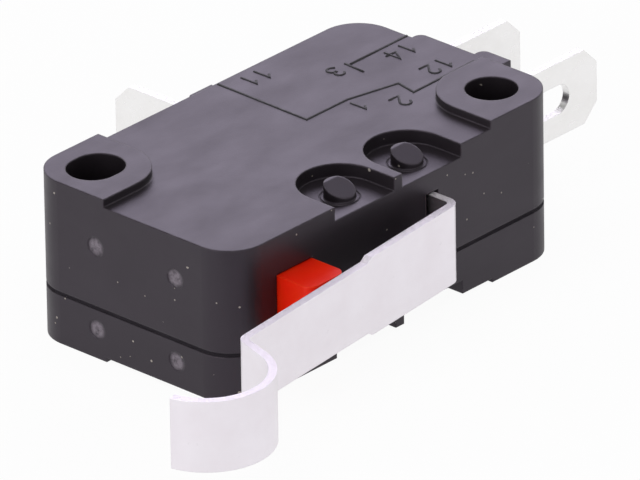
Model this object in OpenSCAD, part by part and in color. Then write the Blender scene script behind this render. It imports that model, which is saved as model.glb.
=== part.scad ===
// Miniature snap-action switch with a hinged lever that ends in a bent roller form.
// Millimetres. +Z is up: the switch lies on one large face.
// +X runs along the body towards the paired terminals, -Y is the button and lever side.
// The origin is the axis of the round mounting hole, in the plane of the resting pads.

/* [Body] */
// Body length along X, without terminals
body_length = 27.8; // [26:0.1:30]
// Body width along Y, from the button side to the common-terminal side
body_width = 15.9; // [15:0.1:18]
// Thickness over the raised pads at the mounting holes
body_thickness = 10.3; // [9.8:0.1:11]
// Rounding of the four upright corners
corner_radius = 2.4; // [1.5:0.1:2.7]
// Height of the joint line between cover and case
parting_height = 3.2; // [3:0.1:3.6]
// Depth and height of the fine groove along the joint line
parting_groove = 0.12; // [0.05:0.01:0.2]
// Thickness of the upright walls
wall = 1.2; // [1:0.1:1.4]
// How far the raised pads stand above the upper face
pad_rise = 0.5; // [0.3:0.05:0.7]
// How far the resting pads stand below the cover
foot_rise = 0.25; // [0.15:0.05:0.4]

/* [Mounting holes] */
// Diameter of the mounting holes
hole_diameter = 3.1; // [2.8:0.05:3.3]
// Hole spacing along X
hole_pitch_x = 22.2; // [21.8:0.1:22.4]
// Hole spacing along Y
hole_pitch_y = 10.3; // [10:0.1:10.5]
// Distance from the body's edges to the hole axis
hole_edge = 2.8; // [2.6:0.1:3]
// Extra length of the oblong hole, along X
oblong_extra = 0.5; // [0.3:0.05:0.8]
// Radius of the raised pad around each hole
pad_radius = 3.2; // [2.8:0.1:3.5]

/* [Pockets] */
// Position of the first pocket from the closed short end
pocket_x = 11.05; // [10.8:0.05:11.4]
// Distance between the two pockets
pocket_pitch = 5.7; // [5.5:0.05:6]
// Width of a pocket
pocket_width = 5; // [4.6:0.05:5.1]
// Distance from the button side to the centre of the rounded end
pocket_reach = 1.9; // [1.6:0.05:2.2]
// Depth of a pocket below the face
pocket_depth = 0.85; // [0.6:0.05:1]
// Diameter of the stub that stands in each pocket
stub_diameter = 1.86; // [1.6:0.02:2.1]
// Slope of the stub's top, falling towards the button side
stub_slope = 20; // [10:1:26]

/* [Button] */
// Button position from the closed short end
button_x = 5.15; // [5:0.05:5.4]
// Button width along X
button_width = 2.94; // [2.6:0.02:3.1]
// Button height along Z
button_height = 4.4; // [4:0.1:4.7]
// Rounding of the button's outer corners
button_round = 0.6; // [0.3:0.05:0.9]
// Play on each side of the button in its guide
button_play = 0.06; // [0.04:0.01:0.1]

/* [Lever] */
// Strip thickness of the lever
lever_thickness = 0.5; // [0.4:0.05:0.55]
// Strip width beyond the shoulder
lever_width = 4.4; // [4:0.1:4.7]
// Strip width from the hinge to the shoulder
lever_base_width = 4.9; // [4.8:0.05:5.1]
// Distance from the button side to the lever's outer corner line
lever_standoff = 1.73; // [1.65:0.02:1.9]
// Angle between the released lever and the body
lever_rake = 5.9; // [5.2:0.1:6.2]
// Length of the wide part, from the hinge corner
lever_base_length = 8.35; // [7:0.05:9.5]
// Length from the hinge corner to the roller form
lever_length = 20.2; // [19.5:0.1:21]
// Radius of the two close bends, on the strip's middle
bend_radius = 0.6; // [0.5:0.05:0.7]
// Bend angle where the roller form begins
flank_angle = 68; // [60:1:75]
// Straight flank of the roller form
flank_length = 1.8; // [1.2:0.1:2.2]
// Outer radius of the roller form
roller_radius = 3.92; // [3.5:0.02:4.1]
// How far round the roller form goes
roller_sweep = 153; // [140:1:160]

/* [Terminals] */
// Width of the flat tabs
tab_width = 4.75; // [4.4:0.05:4.8]
// Thickness of the flat tabs
tab_thickness = 0.5; // [0.4:0.05:0.55]
// How far the paired tabs stand out of the short end
tab_length = 9.8; // [9:0.1:10.5]
// How far the common tab stands out of the long side
common_tab_length = 7.8; // [7.5:0.1:10.5]
// Bevel at the tab corners
tab_bevel = 1.1; // [0.8:0.05:1.3]
// Width of the slotted eye in each tab
eye_width = 1.9; // [1.5:0.05:2.1]
// Length of the slotted eye along the tab
eye_length = 3; // [2.2:0.1:3.4]
// Tab metal between the eye and the tab's end
eye_margin = 2.4; // [2.2:0.05:2.8]
// Position of the normally closed tab from the button side
nc_y = 6.15; // [6.1:0.05:6.3]
// Position of the normally open tab from the button side
no_y = 12.1; // [12:0.05:12.3]
// Position of the common tab from the closed short end
com_x = 15.95; // [15.5:0.05:16.5]

/* [Hidden] */
$fn = 64;
foot_z = foot_rise;
plate_z = body_thickness - pad_rise;
mid_z = body_thickness / 2;
ceiling_z = plate_z - pocket_depth - 0.65;
floor_z = foot_z + pocket_depth + 0.45;
round_hole = [hole_edge + hole_pitch_x, hole_edge];
oblong_hole = [hole_edge, hole_edge + hole_pitch_y];
tube_radius = 2.6;
play = 0.05;
eps = 0.01;
tab_room = tab_thickness / 2 + play;
pivot_x = pocket_x + pocket_pitch;
// The released button's flat end just meets the inner face of the lever.
button_flat_x = button_x + button_width / 2 - button_round;
button_out = lever_standoff - lever_thickness / 2 / cos(lever_rake)
    + (pivot_x - button_flat_x) * tan(lever_rake) - 0.02;
// Room for the leg, which leans as the lever turns about the bend of its hook.
hook_radius = 0.5;
hinge_x = pivot_x + hook_radius;
hinge_y = wall + 0.1;
hook_length = 0.75;
slot_half = lever_thickness / 2 + 0.27;
slot_z_half = lever_base_width / 2 + 0.1;
guide_half = button_width / 2 + 1.13;
guide_depth = 2.5;
flange_half = guide_half - 0.4;
flange_y = guide_depth + play;
flange_thickness = 0.9;
stem_half = 1.2;
stem_y = flange_y + flange_thickness - play;
blade_y = 7.68;
blade_thickness = 0.2;
blade_width = 3.6;
contact_x = 22.6;
contact_radius = 1.3;
contact_travel = 1.0;
head = 0.6;
rivet_radius = 0.6;
moving_face_nc = blade_y - blade_thickness / 2 - head;
moving_face_no = blade_y + blade_thickness / 2 + head;
no_run_y = moving_face_no + contact_travel + head + tab_thickness / 2;
end_wall_x = body_length - wall;
anchor_y = blade_y + blade_thickness / 2 + tab_thickness / 2 + 0.02;
anchor_x = 3.05;
tongue_tip_x = 8.35;
tongue_root_x = contact_x - 3.1;
tongue_seat_y = blade_y + 1.65;
window_half = 1.1;
tongue_half = 0.8;
com_run_y = body_width - wall - 0.55;
com_low_y = oblong_hole[1] - tube_radius - 0.5;
com_rise_x = oblong_hole[0] + tube_radius + 0.7;

// ---------- shared frame and small helpers ----------

module seat() {
    translate([-round_hole[0], -round_hole[1], 0]) children();
}

module slab(low, high) {
    translate([0, 0, low]) linear_extrude(high - low) children();
}

// Rounded body outline, drawn in by a given amount.
module body_outline(inset) {
    r = corner_radius - inset;
    x0 = inset;
    y0 = inset;
    x1 = body_length - inset;
    y1 = body_width - inset;
    translate([x0 + r, y0]) square([x1 - x0 - 2 * r, y1 - y0]);
    translate([x0, y0 + r]) square([x1 - x0, y1 - y0 - 2 * r]);
    translate([x0 + r, y0 + r]) circle(r);
    translate([x1 - r, y0 + r]) circle(r);
    translate([x1 - r, y1 - r]) circle(r);
    translate([x0 + r, y1 - r]) circle(r);
}

// Insulating blocks beside the paired terminals, with one rounded outer corner each.
module end_block(y0, y1, out, inset) {
    r = 0.5;
    xo = body_length + out - inset;
    translate([body_length - wall, y0 + inset]) square([out + wall - inset, y1 - y0 - r - 2 * inset]);
    translate([body_length - wall, y0 + inset]) square([out + wall - inset - r, y1 - y0 - 2 * inset]);
    translate([xo - r, y1 - inset - r]) circle(r);
}

module outer_outline(inset) {
    body_outline(inset);
    end_block(nc_y - 1.05, nc_y + 1.1, 1.45, inset);
    end_block(nc_y + 0.6, no_y - 0.65, 0.7, inset);
}

// Upright block around the common terminal.
module com_block() {
    translate([com_x - 1.05, body_width - wall]) square([2.1, wall + 1.0]);
    translate([com_x - 0.65, body_width]) square([1.7, 1.4]);
    translate([com_x - 0.65, body_width + 1.0]) circle(0.4);
}

module hole_outlines() {
    translate(round_hole) circle(d = hole_diameter);
    translate([oblong_hole[0] - oblong_extra / 2, oblong_hole[1]]) circle(d = hole_diameter);
    translate([oblong_hole[0] + oblong_extra / 2, oblong_hole[1]]) circle(d = hole_diameter);
    translate([oblong_hole[0] - oblong_extra / 2, oblong_hole[1] - hole_diameter / 2])
        square([oblong_extra, hole_diameter]);
}

// Raised pads: the two hole corners, each with one edge rounded around its hole.
module pad_outlines() {
    intersection() {
        body_outline(0);
        union() {
            translate(round_hole) circle(pad_radius);
            translate([round_hole[0] - pad_radius, -1]) square([2 * pad_radius, round_hole[1] + 1]);
            translate([round_hole[0], -1]) square([hole_edge + 1, round_hole[1] + pad_radius + 1]);
        }
    }
    intersection() {
        body_outline(0);
        union() {
            translate(oblong_hole) circle(pad_radius);
            translate([oblong_hole[0] - pad_radius, oblong_hole[1]])
                square([2 * pad_radius, body_width]);
            translate([-1, oblong_hole[1] - pad_radius])
                square([hole_edge + 1, body_width]);
        }
    }
}

// Hollow of the housing, with the hole tubes and the button guide left standing.
module hollow() {
    difference() {
        body_outline(wall);
        translate(round_hole) circle(tube_radius);
        translate([round_hole[0], 0]) square([5, round_hole[1]]);
        translate(oblong_hole) circle(tube_radius);
        translate([-2, oblong_hole[1]]) square([oblong_hole[0] + 2, 6]);
        translate([button_x - guide_half, 0]) square([2 * guide_half, guide_depth]);
    }
}

// Open-ended pocket with a rounded inner end, and the stub left standing in it.
module pocket_outline(cx) {
    difference() {
        union() {
            translate([cx - pocket_width / 2, -1]) square([pocket_width, pocket_reach + 1]);
            translate([cx, pocket_reach]) circle(d = pocket_width);
        }
        translate([cx, pocket_reach]) circle(d = stub_diameter);
    }
}

// Everything cut from an upper face at height top for one pocket: floor, ring line and sloped stub.
module pocket_cut(cx, top) {
    fl = top - pocket_depth;
    slab(fl, top + 1) pocket_outline(cx);
    slab(fl - 0.06, fl + 0.1) translate([cx, pocket_reach]) difference() {
        circle(stub_diameter / 2 + 0.26);
        circle(stub_diameter / 2 + 0.18);
    }
    intersection() {
        translate([cx, pocket_reach, fl]) cylinder(d = stub_diameter + 0.4, h = pocket_depth + 1);
        translate([cx, pocket_reach, fl + 0.6]) rotate([stub_slope, 0, 0])
            translate([-2, -3, 0]) cube([4, 6, 3]);
    }
}

// Room for the lever's leg through the button-side wall.
module lever_slot() {
    translate([pivot_x - slot_half, -1, mid_z - slot_z_half])
        cube([2 * slot_half, wall + 2, 2 * slot_z_half]);
}

module button_slot() {
    translate([button_x - button_width / 2 - button_play, -1, mid_z - button_height / 2 - button_play])
        cube([button_width + 2 * button_play, 5, button_height + 2 * button_play]);
}

module terminal_slots() {
    h = tab_width / 2 + play;
    translate([end_wall_x - 1, nc_y - tab_room, mid_z - h]) cube([6, 2 * tab_room, 2 * h]);
    translate([end_wall_x - 1, no_y - tab_room, mid_z - h]) cube([6, 2 * tab_room, 2 * h]);
    translate([com_x - tab_room, body_width - wall - 1, mid_z - h]) cube([2 * tab_room, 6, 2 * h]);
}

// Shallow round ejector marks on the closed short end.
module ejector_marks() {
    for (y = [4.45, 10.6])
        for (z = [1.85, 7.1])
            translate([-0.5, y, z]) rotate([0, 90, 0]) cylinder(d = 1.2, h = 0.55);
}

module housing_cuts() {
    lever_slot();
    button_slot();
    terminal_slots();
    ejector_marks();
    slab(-1, body_thickness + 1) hole_outlines();
}

// Ring sector on the turtle's arc: inner and outer radius, start angle and sweep.
module ring_sector(ri, ro, a0, sweep) {
    big = 2 * ro;
    intersection() {
        difference() {
            circle(ro);
            circle(ri);
        }
        polygon([
            [0, 0],
            [big * cos(a0), big * sin(a0)],
            [big * cos(a0 + sweep / 2), big * sin(a0 + sweep / 2)],
            [big * cos(a0 + sweep), big * sin(a0 + sweep)]
        ]);
    }
}

// Bent strip seen edge-on. Each step is [straight run, bend radius, bend angle].
module bent_strip(steps, t, i = 0) {
    if (i < len(steps)) {
        run = steps[i][0];
        r = steps[i][1];
        turn = steps[i][2];
        side = sign(turn);
        translate([-eps / 2, -t / 2]) square([run + eps, t]);
        translate([run, 0]) {
            if (turn != 0)
                translate([0, side * r]) ring_sector(r - t / 2, r + t / 2, -90 * side, turn);
            translate([r * sin(abs(turn)), side * r * (1 - cos(turn))])
                rotate(turn) bent_strip(steps, t, i + 1);
        }
    }
}

// Flat tab in the XZ plane reaching from x = 0 to x = reach, eye near its far end.
module tab_profile(reach) {
    w = tab_width / 2;
    difference() {
        polygon([
            [0, -w], [reach - tab_bevel, -w], [reach, -w + tab_bevel],
            [reach, w - tab_bevel], [reach - tab_bevel, w], [0, w]
        ]);
        translate([reach - eye_margin - eye_width / 2, 0]) circle(d = eye_width);
        translate([reach - eye_margin - eye_length + eye_width / 2, 0]) circle(d = eye_width);
        translate([reach - eye_margin - eye_length + eye_width / 2, -eye_width / 2])
            square([eye_length - eye_width, eye_width]);
    }
}

// Stands a profile drawn in XY up into the XZ plane, centred on its thickness.
module stand_xz(t) {
    rotate([90, 0, 0]) translate([0, 0, -t / 2]) linear_extrude(t) children();
}

// Flat-headed contact rivet along Y: head from y0 to y1, shank through to y2.
module contact_rivet(x, y0, y1, y2) {
    translate([x, y0, mid_z]) rotate([-90, 0, 0]) cylinder(r = contact_radius, h = y1 - y0);
    translate([x, min(y1, y2), mid_z]) rotate([-90, 0, 0])
        cylinder(r = rivet_radius, h = abs(y2 - y1));
}

module y_hole(x, y, r) {
    translate([x, y - 0.8, mid_z]) rotate([-90, 0, 0]) cylinder(r = r, h = 1.6);
}

// ---------- housing ----------

module case() {
    color([0.30, 0.28, 0.31]) seat() difference() {
        union() {
            slab(parting_height, parting_height + parting_groove + eps) outer_outline(parting_groove);
            slab(parting_height + parting_groove, plate_z) outer_outline(0);
            slab(parting_height, plate_z - 0.9) com_block();
            slab(plate_z - 0.2, body_thickness) pad_outlines();
        }
        slab(parting_height - 1, ceiling_z) hollow();
        pocket_cut(pocket_x, plate_z);
        pocket_cut(pocket_x + pocket_pitch, plate_z);
        housing_cuts();
    }
}

module cover() {
    color([0.28, 0.26, 0.29]) seat() difference() {
        union() {
            slab(foot_z, parting_height - parting_groove) outer_outline(0);
            slab(parting_height - parting_groove - eps, parting_height) outer_outline(parting_groove);
            slab(foot_z + 1.1, parting_height) com_block();
            slab(0, foot_z + 0.2) pad_outlines();
        }
        slab(floor_z, parting_height + 1) hollow();
        translate([0, 0, foot_z]) mirror([0, 0, 1]) {
            pocket_cut(pocket_x, 0);
            pocket_cut(pocket_x + pocket_pitch, 0);
        }
        housing_cuts();
    }
}

// ---------- button and lever ----------

module plunger() {
    w = button_width;
    rr = button_round;
    color([0.86, 0.25, 0.08]) seat() {
        slab(mid_z - button_height / 2, mid_z + button_height / 2) {
            translate([button_x - w / 2 + rr, -button_out])
                square([w - 2 * rr, button_out + flange_y + play]);
            translate([button_x - w / 2, -button_out + rr])
                square([w, button_out - rr + flange_y + play]);
            translate([button_x - w / 2 + rr, -button_out + rr]) circle(rr);
            translate([button_x + w / 2 - rr, -button_out + rr]) circle(rr);
        }
        translate([button_x - flange_half, flange_y, mid_z - button_height / 2 - 0.3])
            cube([2 * flange_half, flange_thickness, button_height + 0.6]);
        translate([button_x - stem_half, stem_y, mid_z - 1.5])
            cube([2 * stem_half, blade_y - blade_thickness / 2 - 0.04 - stem_y, 3]);
    }
}

module lever_base_profile() {
    leg_turn = 90 - lever_rake;
    leg_run = hinge_y + lever_standoff - bend_radius * tan(leg_turn / 2);
    translate([hinge_x + hook_length, hinge_y + hook_radius]) rotate(180)
        bent_strip([
            [hook_length, hook_radius, 90],
            [leg_run, bend_radius, -leg_turn],
            [lever_base_length - bend_radius * tan(leg_turn / 2), 0, 0]
        ], lever_thickness);
}

module lever_arm_profile() {
    run = lever_length - lever_base_length - bend_radius * tan(flank_angle / 2);
    rm = roller_radius - lever_thickness / 2;
    translate([pivot_x, -lever_standoff]) rotate(180 + lever_rake)
        translate([lever_base_length - 0.3, 0])
        bent_strip([
            [run + 0.3, bend_radius, flank_angle],
            [flank_length, rm, -roller_sweep]
        ], lever_thickness);
}

// Small sloped shoulder where the wide part narrows.
module lever_shoulder() {
    d = (lever_base_width - lever_width) / 2;
    translate([pivot_x, -lever_standoff, mid_z]) rotate([0, 0, 180 + lever_rake])
        translate([lever_base_length, 0, 0]) stand_xz(lever_thickness) polygon([
            [-0.1, -lever_width / 2 - d], [0, -lever_width / 2 - d], [d * 1.6, -lever_width / 2],
            [d * 1.6, lever_width / 2], [0, lever_width / 2 + d], [-0.1, lever_width / 2 + d]
        ]);
}

module lever() {
    color([0.80, 0.80, 0.80]) seat() {
        slab(mid_z - lever_base_width / 2, mid_z + lever_base_width / 2) lever_base_profile();
        slab(mid_z - lever_width / 2, mid_z + lever_width / 2) lever_arm_profile();
        lever_shoulder();
    }
}

// ---------- terminals and contacts ----------

module com_terminal() {
    r = 0.6;
    t = tab_thickness;
    tip_y = body_width + common_tab_length;
    color([0.80, 0.78, 0.72]) seat() difference() {
        union() {
            // outside tab
            translate([com_x, body_width - 1, mid_z]) rotate([0, 0, 90])
                stand_xz(t) tab_profile(tip_y - body_width + 1);
            // inside strip: along the wall, past the hole tube, up to the shelf for the blade
            slab(mid_z - tab_width / 2, mid_z + tab_width / 2)
                translate([com_x, body_width - 0.95]) rotate(-90) bent_strip([
                    [body_width - 0.95 - com_run_y - r, r, -90],
                    [com_x - com_rise_x - 2 * r, r, 90],
                    [com_run_y - com_low_y - 2 * r, r, -90],
                    [com_rise_x - 2.0 - 2 * r, r, 90]
                ], t);
            slab(mid_z - 1.5, mid_z + 1.5) translate([2.0, com_low_y - r + 0.05]) rotate(-90)
                bent_strip([[com_low_y - anchor_y - 1.05, 0.5, 90], [1.1, 0, 0]], t);
            // seat post for the blade's tongue
            translate([tongue_tip_x, tongue_seat_y, mid_z - 1])
                cube([0.5, com_run_y - tongue_seat_y, 2]);
        }
        y_hole(anchor_x, anchor_y, 0.43);
    }
}

module nc_terminal() {
    color([0.80, 0.78, 0.72]) seat() difference() {
        translate([contact_x - 2, nc_y, mid_z]) stand_xz(tab_thickness)
            tab_profile(body_length + tab_length - contact_x + 2);
        y_hole(contact_x, nc_y, rivet_radius + 0.03);
    }
}

module no_terminal() {
    j = no_y - no_run_y;
    a = 45;
    r = 0.6;
    bend = r * tan(a / 2);
    color([0.80, 0.78, 0.72]) seat() difference() {
        union() {
            translate([end_wall_x, no_y, mid_z]) stand_xz(tab_thickness)
                tab_profile(wall + tab_length);
            slab(mid_z - tab_width / 2, mid_z + tab_width / 2)
                translate([end_wall_x + 0.1, no_y]) rotate(180) bent_strip([
                    [0.3, r, a],
                    [j / sin(a) - 2 * bend, r, -a],
                    [end_wall_x - 0.2 - 2 * bend - j - contact_x + 1.9, 0, 0]
                ], tab_thickness);
        }
        y_hole(contact_x, no_run_y, rivet_radius + 0.03);
    }
}

module nc_contact() {
    color([0.86, 0.86, 0.84]) seat() contact_rivet(
        contact_x, nc_y + tab_thickness / 2 + eps, moving_face_nc - 0.02, nc_y - tab_thickness / 2);
}

module no_contact() {
    color([0.86, 0.86, 0.84]) seat() contact_rivet(
        contact_x, moving_face_no + contact_travel + 0.02,
        no_run_y - tab_thickness / 2 - eps, no_run_y + tab_thickness / 2);
}

module moving_contact() {
    color([0.86, 0.86, 0.84]) seat() {
        contact_rivet(contact_x, moving_face_nc, blade_y - blade_thickness / 2 - eps, blade_y);
        contact_rivet(contact_x, blade_y + blade_thickness / 2 + eps, moving_face_no, blade_y);
    }
}

// Snap blade: a flat leaf with a window, and a bowed tongue that leans on the seat post.
module snap_blade() {
    w = blade_width / 2;
    color([0.72, 0.50, 0.24]) seat() difference() {
        union() {
            translate([0, blade_y, mid_z]) stand_xz(blade_thickness) difference() {
                translate([1.7, -w]) square([contact_x, 2 * w]);
                translate([tongue_tip_x - 0.15, -window_half])
                    square([tongue_root_x - tongue_tip_x + 0.05, 2 * window_half]);
            }
            slab(mid_z - tongue_half, mid_z + tongue_half) translate([tongue_root_x, blade_y]) rotate(180)
                bent_strip([[0.4, 1, -16], [4.47, 1.5, 14], [5.37, 1.5, 8], [0.55, 0, 0]], blade_thickness);
        }
        y_hole(contact_x, blade_y, rivet_radius + 0.03);
        y_hole(anchor_x, blade_y, 0.43);
    }
}

module blade_rivet() {
    y0 = blade_y - blade_thickness / 2 - eps;
    y1 = anchor_y + tab_thickness / 2 + eps;
    color([0.72, 0.62, 0.40]) seat() {
        translate([anchor_x, y0 - 0.3, mid_z]) rotate([-90, 0, 0]) cylinder(r = 0.7, h = 0.3);
        translate([anchor_x, y0 - 0.1, mid_z]) rotate([-90, 0, 0]) cylinder(r = 0.4, h = y1 - y0 + 0.2);
        translate([anchor_x, y1, mid_z]) rotate([-90, 0, 0]) cylinder(r = 0.52, h = 0.25);
    }
}

case();
cover();
plunger();
lever();
com_terminal();
nc_terminal();
no_terminal();
nc_contact();
no_contact();
moving_contact();
snap_blade();
blade_rivet();
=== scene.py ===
import math

import bmesh
import bpy
from mathutils import Matrix, Vector


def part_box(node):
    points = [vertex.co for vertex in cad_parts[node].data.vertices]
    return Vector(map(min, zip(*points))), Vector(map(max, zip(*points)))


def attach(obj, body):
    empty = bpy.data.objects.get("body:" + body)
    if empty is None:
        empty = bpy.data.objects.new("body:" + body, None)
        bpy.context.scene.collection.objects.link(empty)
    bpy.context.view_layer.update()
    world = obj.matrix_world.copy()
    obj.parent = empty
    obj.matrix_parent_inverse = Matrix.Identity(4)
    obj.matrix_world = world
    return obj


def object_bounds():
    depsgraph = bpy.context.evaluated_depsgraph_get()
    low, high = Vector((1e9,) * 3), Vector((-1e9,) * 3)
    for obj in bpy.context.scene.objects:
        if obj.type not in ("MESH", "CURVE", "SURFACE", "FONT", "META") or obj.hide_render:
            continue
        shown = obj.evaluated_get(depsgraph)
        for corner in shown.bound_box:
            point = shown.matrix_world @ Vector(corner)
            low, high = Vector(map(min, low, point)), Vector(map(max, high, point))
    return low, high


MM = 0.001
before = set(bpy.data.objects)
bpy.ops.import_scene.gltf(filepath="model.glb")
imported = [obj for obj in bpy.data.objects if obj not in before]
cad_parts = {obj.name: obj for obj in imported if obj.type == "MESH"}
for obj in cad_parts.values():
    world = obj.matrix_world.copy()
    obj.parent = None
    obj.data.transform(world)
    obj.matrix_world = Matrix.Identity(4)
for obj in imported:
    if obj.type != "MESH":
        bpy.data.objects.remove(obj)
cad_low, cad_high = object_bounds()
case_low, case_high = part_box("case")
parting_z = case_low.z  # the joint line between cover and case
PAD_RISE = 0.5 * MM
face_z = case_high.z - PAD_RISE  # the upper face between the raised pads
# Corner of the housing at the end with the ejector marks, on the button side.
body_x = case_low.x
body_y = case_low.y


# ---------- camera ----------


def look(azimuth, elevation, roll):
    """Right, up and back axes of a camera, from angles in degrees."""
    a, e = math.radians(azimuth), math.radians(elevation)
    back = Vector((math.sin(a) * math.cos(e), -math.cos(a) * math.cos(e), math.sin(e)))
    right = Vector((math.cos(a), math.sin(a), 0))
    up = back.cross(right)
    turn = Matrix.Rotation(math.radians(roll), 3, back)
    right, up = turn @ right, turn @ up
    return right, up, back


AZIMUTH, ELEVATION, ROLL = -47.3, 26.6, -0.9
BODY_CENTRE = Vector((-11.1, 5.15, 5.0)) * MM
AIM_RIGHT, AIM_DOWN = 1.38 * MM, 1.68 * MM  # where the picture's centre lies from there
LENS, SENSOR_WIDTH, DISTANCE = 836, 36, 0.85

right, up, back = look(AZIMUTH, ELEVATION, ROLL)
aim = BODY_CENTRE + right * AIM_RIGHT - up * AIM_DOWN
camera = bpy.data.objects.new("camera", bpy.data.cameras.new("camera"))
bpy.context.scene.collection.objects.link(camera)
camera.data.lens = LENS
camera.data.sensor_width = SENSOR_WIDTH
camera.data.clip_start = 0.05
camera.data.clip_end = 50
axes = Matrix((right, up, back)).transposed()
camera.matrix_world = Matrix.Translation(aim + back * DISTANCE) @ axes.to_4x4()
bpy.context.scene.camera = camera


# ---------- material helpers ----------


class Nodes:
    """Short calls for building one material's node tree."""

    def __init__(self, name):
        self.material = bpy.data.materials.new(name)
        self.material.use_nodes = True
        self.tree = self.material.node_tree
        self.shader = self.tree.nodes["Principled BSDF"]
        self.place = self.add("ShaderNodeTexCoord").outputs["Object"]

    def add(self, kind, **settings):
        node = self.tree.nodes.new(kind)
        for key, value in settings.items():
            setattr(node, key, value)
        return node

    def link(self, a, b):
        self.tree.links.new(a, b)

    def put(self, socket, value):
        if isinstance(value, bpy.types.NodeSocket):
            self.link(value, socket)
        else:
            socket.default_value = value

    def math(self, how, a, b=0.0, clamp=False):
        node = self.add("ShaderNodeMath", operation=how, use_clamp=clamp)
        self.put(node.inputs[0], a)
        self.put(node.inputs[1], b)
        return node.outputs[0]

    def scaled(self, scale):
        node = self.add("ShaderNodeMapping")
        self.link(self.place, node.inputs["Vector"])
        node.inputs["Scale"].default_value = scale
        return node.outputs[0]

    def noise(self, size_mm, detail=3.0, rough=0.5, stretch=(1, 1, 1)):
        node = self.add("ShaderNodeTexNoise")
        self.link(self.scaled(stretch), node.inputs["Vector"])
        node.inputs["Scale"].default_value = 1 / (size_mm * MM)
        node.inputs["Detail"].default_value = detail
        node.inputs["Roughness"].default_value = rough
        return node.outputs["Fac"]

    def span(self, value, a, b, c, d):
        """Value from a..b mapped to c..d, held at the ends."""
        node = self.add("ShaderNodeMapRange")
        self.link(value, node.inputs["Value"])
        for key, number in zip(("From Min", "From Max", "To Min", "To Max"), (a, b, c, d)):
            self.put(node.inputs[key], number)
        return node.outputs[0]

    def mix(self, fac, a, b):
        node = self.add("ShaderNodeMix", data_type="RGBA")
        self.put(node.inputs["Factor"], fac)
        self.put(node.inputs[6], a)
        self.put(node.inputs[7], b)
        return node.outputs[2]

    def bump(self, height, distance, strength=1.0, below=None):
        node = self.add("ShaderNodeBump")
        self.link(height, node.inputs["Height"])
        node.inputs["Distance"].default_value = distance
        node.inputs["Strength"].default_value = strength
        if below is not None:
            self.link(below, node.inputs["Normal"])
        return node.outputs[0]

    def soft_edge(self, radius):
        node = self.add("ShaderNodeBevel", samples=6)
        node.inputs["Radius"].default_value = radius
        return node.outputs[0]

    def edge_mask(self, radius, gain):
        """1 along edges rounder than the surface, 0 on flat parts."""
        rounded = self.soft_edge(radius)
        true = self.add("ShaderNodeNewGeometry").outputs["True Normal"]
        dot = self.add("ShaderNodeVectorMath", operation="DOT_PRODUCT")
        self.link(rounded, dot.inputs[0])
        self.link(true, dot.inputs[1])
        away = self.math("SUBTRACT", 1.0, dot.outputs["Value"])
        return self.math("MULTIPLY", away, gain, clamp=True)

    def separate(self, vector):
        node = self.add("ShaderNodeSeparateXYZ")
        self.link(vector, node.inputs[0])
        return node.outputs

    def finish(self, **sockets):
        for key, value in sockets.items():
            self.put(self.shader.inputs[key.replace("_", " ")], value)
        return self.material


def srgb(r, g, b):
    """Linear colour from 0-255 display values."""

    def one(v):
        v /= 255
        return v / 12.92 if v <= 0.04045 else ((v + 0.055) / 1.055) ** 2.4

    return (one(r), one(g), one(b), 1)


# ---------- housing plastics ----------

# Ejector marks on the end wall: y and z in mm from the housing's lower corner.
MARK_SPOTS = [(4.45, 1.85), (10.6, 1.85), (4.45, 7.1), (10.6, 7.1)]
MARK_FULL, MARK_GONE = 0.5 * MM, 0.78 * MM  # full inside, gone outside, before the ragging
MARK_RAGGED = 0.34 * MM  # noise of up to this is added to the distance from the centre
END_WALL_DEPTH = 0.3 * MM
GROOVE_DARK, GROOVE_GONE = 0.1 * MM, 0.16 * MM  # height off the joint line where the painted groove shade is full, and where it is gone
FLECK_SPACING = 0.75 * MM
FLECK_SMALL, FLECK_LARGE = 0.05, 0.15  # radius as a share of the spacing
# first colour: painted edge highlight, partly wear; second colour: painted shade for the joint
# groove
EDGE_HIGHLIGHT_AND_WEAR_COLOUR, GROOVE_SHADE_COLOUR = (104, 98, 104), (5, 4, 5)
FLECK_COLOUR, SCUFF_COLOUR = (184, 176, 166), (132, 124, 132)


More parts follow.
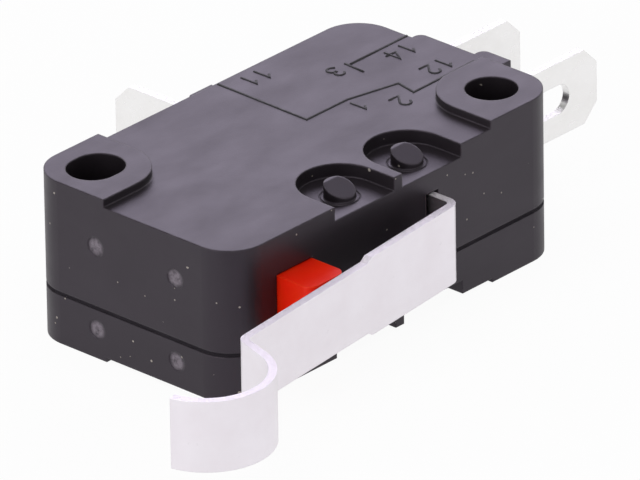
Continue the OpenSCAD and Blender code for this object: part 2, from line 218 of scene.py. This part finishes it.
def housing_plastic(name, base):
    n = Nodes(name)
    x, y, z = n.separate(n.place)
    # slight mottling from the mould and handling
    cloud = n.span(n.noise(5.0, 4, 0.55), 0.3, 0.7, 0, 1)
    colour = n.mix(cloud, srgb(*base), srgb(*[v * 1.14 + 1 for v in base]))
    grain = n.noise(0.09, 2, 0.6)
    smear = n.noise(2.2, 5, 0.6, stretch=(0.5, 1, 1.4))
    rough = n.span(smear, 0.3, 0.72, 0.38, 0.47)
    # paler edges: painted highlight along the rounded edges, partly wear
    edge = n.edge_mask(0.22 * MM, 1.6)
    edge_highlight_and_wear = n.math("MULTIPLY", edge, n.span(n.noise(0.7, 4, 0.6), 0.42, 0.62, 0, 0.5))
    colour = n.mix(edge_highlight_and_wear, colour, srgb(*EDGE_HIGHLIGHT_AND_WEAR_COLOUR))
    # painted shade: the groove along the joint line darkened, and made rougher
    off_line = n.math("ABSOLUTE", n.math("SUBTRACT", z, parting_z))
    groove_shade = n.span(off_line, GROOVE_DARK, GROOVE_GONE, 0.85, 0)
    colour = n.mix(groove_shade, colour, srgb(*GROOVE_SHADE_COLOUR))
    rough = n.math("ADD", rough, n.math("MULTIPLY", groove_shade, 0.4), clamp=True)
    # pale dust flecks on upright faces, in patches that a broad noise sets
    specks = n.add("ShaderNodeTexVoronoi", feature="F1")
    n.link(n.scaled((1, 1, 1)), specks.inputs["Vector"])
    specks.inputs["Scale"].default_value = 1 / FLECK_SPACING
    pick = n.separate(specks.outputs["Color"])
    size = n.span(pick[1], 0, 1, FLECK_SMALL, FLECK_LARGE)
    near = n.math("LESS_THAN", specks.outputs["Distance"], size)
    threshold = n.span(n.noise(6, 1, 0.5), 0.35, 0.65, 0.85, 0.45)
    chosen = n.math("GREATER_THAN", pick[0], threshold)
    geometry = n.add("ShaderNodeNewGeometry")
    up_ness = n.separate(geometry.outputs["Normal"])[2]
    upright = n.math("LESS_THAN", n.math("ABSOLUTE", up_ness), 0.5)
    fleck = n.math("MULTIPLY", n.math("MULTIPLY", near, chosen), upright)
    colour = n.mix(n.math("MULTIPLY", fleck, 0.8), colour, srgb(*FLECK_COLOUR))
    # scuffed round ejector marks on the closed short end
    marks = None
    ragged = n.math("MULTIPLY", n.noise(0.7, 3, 0.6), MARK_RAGGED)
    for my, mz in MARK_SPOTS:
        dy = n.math("SUBTRACT", y, body_y + my * MM)
        dz = n.math("SUBTRACT", z, mz * MM)
        squares = n.math("ADD", n.math("MULTIPLY", dy, dy), n.math("MULTIPLY", dz, dz))
        away = n.math("SQRT", squares)
        disc = n.span(n.math("ADD", away, ragged), MARK_FULL, MARK_GONE, 1, 0)
        marks = disc if marks is None else n.math("MAXIMUM", marks, disc)
    at_end = n.math("LESS_THAN", x, body_x + END_WALL_DEPTH)
    scuff = n.span(n.noise(0.32, 5, 0.75), 0.34, 0.54, 0.15, 1)
    marks = n.math("MULTIPLY", n.math("MULTIPLY", marks, at_end), scuff)
    colour = n.mix(n.math("MULTIPLY", marks, 0.9), colour, srgb(*SCUFF_COLOUR))
    rough = n.math("ADD", rough, n.math("MULTIPLY", marks, 0.2))
    rough = n.math("ADD", rough, n.math("MULTIPLY", fleck, 0.3), clamp=True)
    normal = n.bump(grain, 0.012 * MM, 0.35, below=n.soft_edge(0.14 * MM))
    normal = n.bump(n.noise(3.2, 2, 0.5), 0.03 * MM, 0.15, below=normal)
    return n.finish(
        Base_Color=colour,
        Roughness=rough,
        Normal=normal,
        IOR=1.54,
        Specular_Tint=(0.94, 0.82, 1.0, 1),
    )


case_plastic = housing_plastic("case_plastic", (28, 24, 27))
cover_plastic = housing_plastic("cover_plastic", (26, 22, 25))


def button_plastic():
    n = Nodes("button_plastic")
    cloud = n.span(n.noise(1.4, 3, 0.5), 0.3, 0.7, 0, 1)
    colour = n.mix(cloud, srgb(252, 30, 0), srgb(255, 42, 0))
    # painted highlight: the edges and corners are lightened towards pale orange
    edge = n.edge_mask(0.2 * MM, 1.8)
    colour = n.mix(n.math("MULTIPLY", edge, 0.35), colour, srgb(255, 104, 44))
    rough = n.span(n.noise(0.5, 4, 0.6), 0.3, 0.7, 0.32, 0.44)
    normal = n.bump(n.noise(0.08, 2, 0.6), 0.008 * MM, 0.3, below=n.soft_edge(0.1 * MM))
    return n.finish(
        Base_Color=colour,
        Roughness=rough,
        Normal=normal,
        Specular_IOR_Level=0.22,
        Subsurface_Weight=0.12,
        Subsurface_Radius=(0.6 * MM, 0.12 * MM, 0.05 * MM),
        Subsurface_Scale=1.0,
    )


# ---------- metals ----------

STRIP_EDGE_RADIUS = 0.05 * MM


def metal(name, light, dark, low, high, grain_stretch, sheared=True):
    n = Nodes(name)
    cloud = n.span(n.noise(2.5, 4, 0.6), 0.35, 0.68, 0, 1)
    colour = n.mix(cloud, srgb(*light), srgb(*dark))
    line = n.noise(0.28, 3, 0.65, stretch=grain_stretch)
    rough = n.span(line, 0.3, 0.7, low, high)
    spots = n.span(n.noise(0.35, 3, 0.7), 0.66, 0.74, 0, 1)
    colour = n.mix(n.math("MULTIPLY", spots, 0.12), colour, srgb(*[v * 0.72 for v in dark]))
    normal = n.soft_edge(STRIP_EDGE_RADIUS)
    normal = n.bump(line, 0.01 * MM, 0.35, below=normal)
    if sheared:
        # the cut edges of the strip carry fine shear marks
        geometry = n.add("ShaderNodeNewGeometry")
        tip = n.separate(geometry.outputs["True Normal"])[2]
        cut = n.math("GREATER_THAN", n.math("ABSOLUTE", tip), 0.8)
        ragged = n.noise(0.16, 4, 0.7)
        rough = n.math("ADD", rough, n.math("MULTIPLY", cut, 0.14))
        normal = n.bump(n.math("MULTIPLY", ragged, cut), 0.12 * MM, 0.9, below=normal)
    return n.finish(Base_Color=colour, Roughness=rough, Normal=normal, Metallic=1.0)


LOOKS = {
    "case": case_plastic,
    "cover": cover_plastic,
    "plunger": button_plastic(),
    "lever": metal(
        "lever_steel", (247, 242, 248), (243, 237, 243), 0.28, 0.36, (0.12, 0.12, 1.6)
    ),
    "tab_metal": metal(
        "tab_metal", (252, 251, 250), (247, 246, 244), 0.26, 0.38, (0.2, 1, 1.2)
    ),
    "contact_metal": metal(
        "contact_metal", (226, 226, 224), (208, 208, 206), 0.2, 0.32, (1, 1, 1), False
    ),
    "blade_metal": metal(
        "blade_metal", (206, 150, 92), (190, 132, 76), 0.26, 0.38, (0.2, 1, 1.2), False
    ),
}
FAMILY = {
    "com_terminal": "tab_metal",
    "nc_terminal": "tab_metal",
    "no_terminal": "tab_metal",
    "nc_contact": "contact_metal",
    "no_contact": "contact_metal",
    "moving_contact": "contact_metal",
    "snap_blade": "blade_metal",
    "blade_rivet": "contact_metal",
}
for node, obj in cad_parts.items():
    look_name = FAMILY.get(node, node)
    for slot in obj.material_slots:
        slot.material = LOOKS[look_name]


# ---------- marks on the upper face ----------

CIRCUIT_WIDTH, FIGURE_WIDTH = 0.2, 0.18
MARK_SUNK, MARK_RISE = 0.03 * MM, 0.05 * MM  # how far a mark goes below and above the face
# A bead's section: share of its width and of its height.
BEAD_SECTION = ((-0.5, 0.0), (-0.42, 0.7), (-0.2, 1.0), (0.2, 1.0), (0.42, 0.7), (0.5, 0.0))
BEAD_OVERRUN = 0.4  # how far an open end runs on, as a share of the width

marks = Nodes("mark_plastic")
mark_plastic = marks.finish(
    Base_Color=marks.mix(marks.noise(0.6, 3, 0.6), srgb(24, 21, 25), srgb(32, 29, 33)),
    Roughness=marks.span(marks.noise(0.2, 3, 0.6), 0.3, 0.7, 0.5, 0.7),
    Normal=marks.bump(marks.noise(0.08, 2, 0.6), 0.01 * MM, 0.4),
)


def ribbon(mesh, points, width, low, high):
    """Raised bead along a line of points in metres, mitred at its corners."""
    count = len(points)
    rings = []
    for i, p in enumerate(points):
        before = (p - points[i - 1]).normalized() if i > 0 else None
        after = (points[i + 1] - p).normalized() if i < count - 1 else None
        along = ((before or after) + (after or before)).normalized()
        side = Vector((-along.y, along.x))
        stretch = 1 / max(0.5, along.dot(after or before))
        shift = Vector((0, 0))
        if before is None:
            shift = -along * width * BEAD_OVERRUN
        if after is None:
            shift = along * width * BEAD_OVERRUN
        ring = []
        for u, h in BEAD_SECTION:
            q = p + shift + side * (u * width * stretch)
            ring.append(mesh.verts.new((q.x, q.y, low + (high - low) * h)))
        rings.append(ring)
    for a, b in zip(rings, rings[1:]):
        for i in range(len(a) - 1):
            mesh.faces.new((a[i], a[i + 1], b[i + 1], b[i]))
    mesh.faces.new(rings[0])
    mesh.faces.new(rings[-1])


def arc(cx, cy, rx, ry, start, end, steps):
    """Points along part of an ellipse, from start to end in degrees."""
    turns = [math.radians(start + (end - start) * i / steps) for i in range(steps + 1)]
    return [(cx + rx * math.cos(t), cy + ry * math.sin(t)) for t in turns]


# Strokes of each digit, in units of its height from its lower left corner.
DIGITS = {
    "1": [[(0.14, 0.78), (0.34, 1.0), (0.34, 0.0)]],
    "2": [arc(0.3, 0.72, 0.28, 0.28, 160, -30, 9) + [(0.02, 0.0), (0.62, 0.0)]],
    "3": [arc(0.3, 0.75, 0.26, 0.25, 150, -90, 8) + arc(0.3, 0.26, 0.3, 0.26, 90, -150, 9)],
    "4": [[(0.46, 0.0), (0.46, 1.0), (0.02, 0.3), (0.66, 0.3)]],
}

DIGIT_PITCH, DIGIT_GAP = 0.95, 0.3  # as shares of the height


def face_point(x, y):
    """A point of the upper face, from body millimetres measured from its near corner."""
    return Vector((body_x + x * MM, body_y + y * MM))


def strokes_to_piece(name, strokes, width):
    """One piece that rides the housing, made of beads, with the width in mm."""
    mesh = bmesh.new()
    for stroke in strokes:
        ribbon(mesh, stroke, width * MM, face_z - MARK_SUNK, face_z + MARK_RISE)
    bmesh.ops.recalc_face_normals(mesh, faces=mesh.faces)
    data = bpy.data.meshes.new(name)
    mesh.to_mesh(data)
    mesh.free()
    for polygon in data.polygons:
        polygon.use_smooth = True
    data.materials.append(mark_plastic)
    piece = bpy.data.objects.new(name, data)
    bpy.context.scene.collection.objects.link(piece)
    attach(piece, "housing")


def number(text, x, y, height):
    """Strokes of a number centred at x, y that reads along -X with its top towards -Y."""
    pitch = DIGIT_PITCH * height
    strokes = []
    start = -(len(text) * pitch - DIGIT_GAP * height) / 2
    for i, digit in enumerate(text):
        for line in DIGITS[digit]:
            points = []
            for u, v in line:
                along = start + i * pitch + u * height
                points.append(face_point(x - along, y - (v - 0.5) * height))
            strokes.append(points)
    return strokes


circuit = [
    [(15.95, 15.7), (15.85, 8.8), (19.3, 8.8), (22.8, 8.0), (22.5, 6.55), (27.7, 6.65)],
    [(27.7, 11.83), (22.93, 11.76)],
    [(22.7, 12.0), (22.6, 10.6)],
]
circuit = [[face_point(x, y) for x, y in line] for line in circuit]
strokes_to_piece("circuit_marks", circuit, CIRCUIT_WIDTH)
figures = []
for text, x, y, height in (
    ("3", 21.55, 11.75, 1.15),
    ("1", 19.1, 7.72, 1.1),
    ("2", 21.2, 6.3, 1.2),
    ("11", 18.0, 14.7, 1.15),
    ("14", 25.95, 10.65, 1.15),
    ("12", 25.9, 7.75, 1.15),
):
    figures += number(text, x, y, height)
strokes_to_piece("figure_marks", figures, FIGURE_WIDTH)


# ---------- floor, light and background ----------


def area_light(name, place, target, size, level, tint):
    """A rectangle light aimed at target; its power is level x pi x its area."""
    data = bpy.data.lights.new(name, "AREA")
    data.shape = "RECTANGLE"
    data.size, data.size_y = size
    data.energy = level * math.pi * size[0] * size[1]
    data.color = tint
    obj = bpy.data.objects.new(name, data)
    bpy.context.scene.collection.objects.link(obj)
    obj.location = place
    obj.rotation_mode = "QUATERNION"
    obj.rotation_quaternion = (Vector(target) - Vector(place)).to_track_quat("-Z", "Y")


centre = Vector((-0.011, 0.005, 0.005))
# name, place from the centre, size, level, tint
LIGHTS = (
    ("overhead", (-0.1, -0.05, 0.6), (0.6, 0.6), 1.6, (1, 1, 1)),
    ("behind", (0.42, 0.37, 0.3), (0.5, 0.34), 1.85, (0.95, 0.86, 1.12)),
    ("left", (-0.6, 0.02, 0.2), (0.4, 0.3), 2.2, (1, 1, 1)),
)
for name, offset, size, level, tint in LIGHTS:
    area_light(name, centre + Vector(offset), centre, size, level, tint)


def background_ray(tree, seen, mirrored):
    """seen for a ray from the camera or through glass, mirrored for one from a gloss, else 0."""
    path = tree.nodes.new("ShaderNodeLightPath")
    most = None
    rays = (("Is Camera Ray", seen), ("Is Transmission Ray", seen), ("Is Glossy Ray", mirrored))
    for name, share in rays:
        part = tree.nodes.new("ShaderNodeMath")
        part.operation = "MULTIPLY"
        tree.links.new(path.outputs[name], part.inputs[0])
        part.inputs[1].default_value = share
        if most is None:
            most = part.outputs[0]
            continue
        node = tree.nodes.new("ShaderNodeMath")
        node.operation = "MAXIMUM"
        tree.links.new(most, node.inputs[0])
        tree.links.new(part.outputs[0], node.inputs[1])
        most = node.outputs[0]
    return most


world = bpy.data.worlds.new("studio")
bpy.context.scene.world = world
world.use_nodes = True
sky = world.node_tree.nodes["Background"]
LIT_STRENGTH, SEEN_STRENGTH = 0.5, 1.0  # for diffuse light, and as seen or mirrored
strength = world.node_tree.nodes.new("ShaderNodeMapRange")
world.node_tree.links.new(background_ray(world.node_tree, 1, 1), strength.inputs["Value"])
strength.inputs["To Min"].default_value = LIT_STRENGTH
strength.inputs["To Max"].default_value = SEEN_STRENGTH
world.node_tree.links.new(strength.outputs[0], sky.inputs["Strength"])
# the room is dimmer overhead than at the white horizon
direction = world.node_tree.nodes.new("ShaderNodeTexCoord")
split = world.node_tree.nodes.new("ShaderNodeSeparateXYZ")
world.node_tree.links.new(direction.outputs["Generated"], split.inputs[0])
dim = world.node_tree.nodes.new("ShaderNodeMapRange")
dim.interpolation_type = "SMOOTHSTEP"
world.node_tree.links.new(split.outputs["Z"], dim.inputs["Value"])
for key, number in (("From Min", 0.45), ("From Max", 0.72), ("To Min", 1.0), ("To Max", 0.2)):
    dim.inputs[key].default_value = number
world.node_tree.links.new(dim.outputs[0], sky.inputs["Color"])

floor_mesh = bpy.data.meshes.new("floor")
FLOOR_HALF = 3.0
FLOOR_DROP = 0.00001  # keeps the floor's surface off the part's underside
FLOOR_GREY = 0.95
FLOOR_SEEN, FLOOR_MIRRORED = 0.95, 0.66  # share of plain white in the floor
corners = [(x * FLOOR_HALF, y * FLOOR_HALF, 0) for x, y in ((-1, -1), (1, -1), (1, 1), (-1, 1))]
floor_mesh.from_pydata(corners, [], [(0, 1, 2, 3)])
floor = bpy.data.objects.new("floor", floor_mesh)
bpy.context.scene.collection.objects.link(floor)
floor.location.z = cad_low.z - FLOOR_DROP
paper = bpy.data.materials.new("floor_paper")
paper.use_nodes = True
tree = paper.node_tree
surface = tree.nodes["Principled BSDF"]
surface.inputs["Base Color"].default_value = (FLOOR_GREY, FLOOR_GREY, FLOOR_GREY, 1)
surface.inputs["Roughness"].default_value = 0.9
surface.inputs["Specular IOR Level"].default_value = 0.0
glow = tree.nodes.new("ShaderNodeEmission")
glow.inputs["Strength"].default_value = 1.0
blend = tree.nodes.new("ShaderNodeMixShader")
tree.links.new(background_ray(tree, FLOOR_SEEN, FLOOR_MIRRORED), blend.inputs["Fac"])
tree.links.new(surface.outputs[0], blend.inputs[1])
tree.links.new(glow.outputs[0], blend.inputs[2])
tree.links.new(blend.outputs[0], tree.nodes["Material Output"].inputs["Surface"])
floor_mesh.materials.append(paper)

bpy.context.scene.view_settings.view_transform = "Standard"
